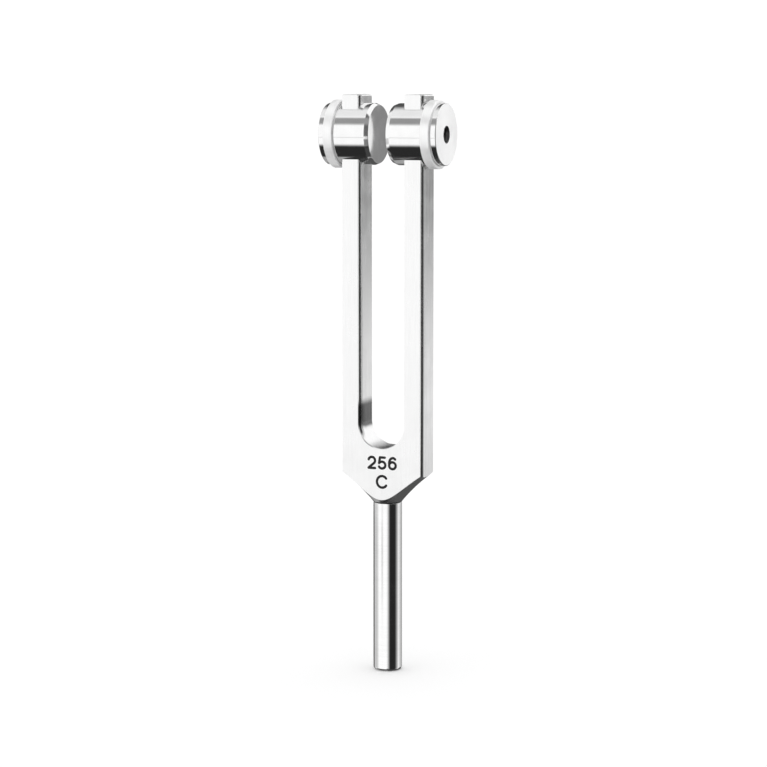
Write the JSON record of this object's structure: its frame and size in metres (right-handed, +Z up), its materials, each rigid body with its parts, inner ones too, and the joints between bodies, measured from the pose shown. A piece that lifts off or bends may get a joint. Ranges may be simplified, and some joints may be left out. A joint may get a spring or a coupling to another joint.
{
  "type": "tuning fork",
  "caption": "Weighted two-prong tuning fork with a round stem and a cylindrical clamped weight near the tip of each prong, pitched at 256 Hz.",
  "frame": {"origin": "centre of the flat foot of the stem", "axes": "+Z up along the stem towards the prong tips, +X across the two prongs, -Y the face with the pitch mark"},
  "size_m": [0.0322, 0.0176, 0.15],
  "materials": {
    "fork_metal": "fine satin, brushed along the prongs",
    "stem_metal": "turned and polished",
    "weight_metal": "turned and polished",
    "ring_metal": "satin",
    "screw_steel": "dark oxide",
    "pad_brass": "plain turned"
  },
  "bodies": {
    "fork": {"fork_body": "fork_metal", "stem": "stem_metal"},
    "left_clamp": {"left_weight": "weight_metal", "left_ring": "ring_metal"},
    "right_clamp": {"right_weight": "weight_metal", "right_ring": "ring_metal"},
    "left_pad_body": {"left_pad": "pad_brass"},
    "right_pad_body": {"right_pad": "pad_brass"},
    "left_screw_body": {"left_set_screw": "screw_steel"},
    "right_screw_body": {"right_set_screw": "screw_steel"}
  },
  "joints": [
    {"name": "left_weight_slide", "type": "slide", "parent": "fork", "child": "left_clamp", "axis": [0, 0, 1], "range_m": [-0.06, 0.002]},
    {"name": "right_weight_slide", "type": "slide", "parent": "fork", "child": "right_clamp", "axis": [0, 0, 1], "range_m": [-0.06, 0.002]},
    {"name": "left_pad_travel", "type": "slide", "parent": "left_clamp", "child": "left_pad_body", "axis": [-1, 0, 0], "range_m": [0, 0.001]},
    {"name": "right_pad_travel", "type": "slide", "parent": "right_clamp", "child": "right_pad_body", "axis": [1, 0, 0], "range_m": [0, 0.001]},
    {"name": "left_screw_turn", "type": "hinge", "parent": "left_pad_body", "child": "left_screw_body", "pos_m": [-0.0136, 0, 0.13986], "axis": [-1, 0, 0], "range_deg": [0, 450]},
    {"name": "right_screw_turn", "type": "hinge", "parent": "right_pad_body", "child": "right_screw_body", "pos_m": [0.0136, 0, 0.13986], "axis": [1, 0, 0], "range_deg": [0, 450]}
  ],
  "couplings": [
    {"joint": "left_screw_turn", "follows": "left_pad_travel", "rad_per_m": 7854},
    {"joint": "right_screw_turn", "follows": "right_pad_travel", "rad_per_m": 7854}
  ]
}
